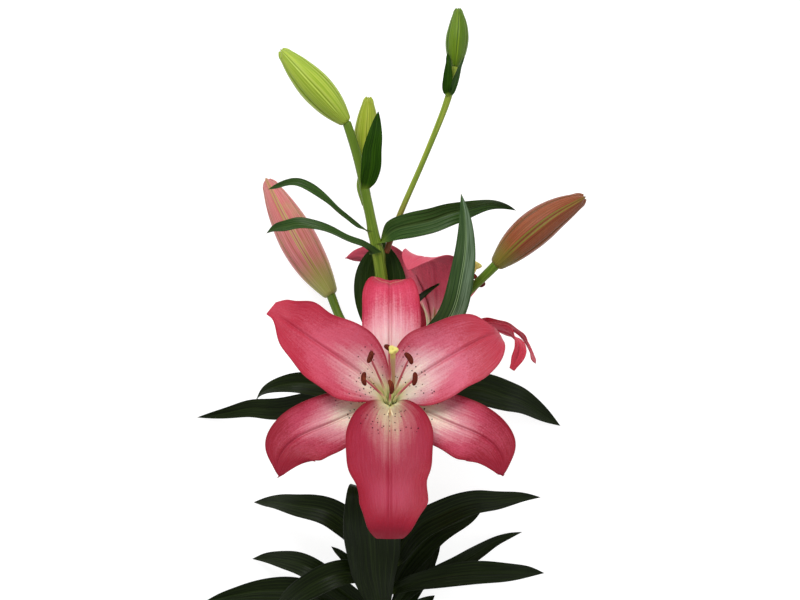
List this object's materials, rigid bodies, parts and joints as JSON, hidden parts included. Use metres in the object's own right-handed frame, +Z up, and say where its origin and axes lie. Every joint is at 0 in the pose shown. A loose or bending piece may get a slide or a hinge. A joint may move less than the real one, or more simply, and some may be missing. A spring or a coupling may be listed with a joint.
{
  "type": "cut lily",
  "caption": "Cut pink lily lying on a surface: a slender leafy stem that carries open six-petalled blooms, closed buds on stalks and long narrow arching leaves.",
  "frame": {"origin": "middle of the bottom of the bounding box, on the surface that the lily lies on", "axes": "+Y runs along the stem from its cut end to the topmost bud, +Z points up from the surface, the way the front bloom faces, and +X is to the right seen from above with the buds away from the viewer"},
  "size_m": [0.2674, 0.5938, 0.1715],
  "materials": {
    "stem": "satin",
    "leaf": "satin",
    "petal": "satin",
    "green_bud": "satin",
    "pink_bud": "satin",
    "russet_bud": "satin",
    "stamen": "matte",
    "pistil": "satin"
  },
  "bodies": {
    "root": {"bract_small_bud": "leaf", "bract_top_bud": "leaf", "bud_green_left": "green_bud", "bud_green_small": "green_bud", "bud_green_top": "green_bud", "bud_pink": "pink_bud", "bud_russet": "russet_bud", "front_bloom_stalk": "stem", "front_pistil": "pistil", "front_stamen_1": "stamen", "front_stamen_2": "stamen", "front_stamen_3": "stamen", "front_stamen_4": "stamen", "front_stamen_5": "stamen", "front_stamen_6": "stamen", "front_tepal_bottom": "petal", "front_tepal_lower_left": "petal", "front_tepal_lower_right": "petal", "front_tepal_top": "petal", "front_tepal_upper_left": "petal", "front_tepal_upper_right": "petal", "leaf_behind_stem": "leaf", "leaf_bottom_left": "leaf", "leaf_bottom_left_near": "leaf", "leaf_bottom_right": "leaf", "leaf_centre": "leaf", "leaf_lower_left": "leaf", "leaf_lower_left_low": "leaf", "leaf_lower_left_small": "leaf", "leaf_lower_right_high": "leaf", "leaf_lower_right_inner": "leaf", "leaf_lower_right_low": "leaf", "leaf_lower_right_short": "leaf", "leaf_lower_right_slim": "leaf", "leaf_middle_left_high": "leaf", "leaf_middle_left_low": "leaf", "leaf_middle_right": "leaf", "leaf_upper_left": "leaf", "leaf_upper_right": "leaf", "leaf_upper_thin": "leaf", "leaf_upright": "leaf", "rear_bloom_stalk": "stem", "rear_pistil": "pistil", "rear_stamen_1": "stamen", "rear_stamen_2": "stamen", "rear_stamen_3": "stamen", "rear_stamen_4": "stamen", "rear_stamen_5": "stamen", "rear_stamen_6": "stamen", "rear_tepal_left": "petal", "rear_tepal_left_under": "petal", "rear_tepal_near": "petal", "rear_tepal_right": "petal", "rear_tepal_right_near": "petal", "rear_tepal_right_under": "petal", "stalk_green_small": "stem", "stalk_green_top": "stem", "stalk_pink": "stem", "stalk_russet": "stem", "stem": "stem"}
  },
  "joints": []
}
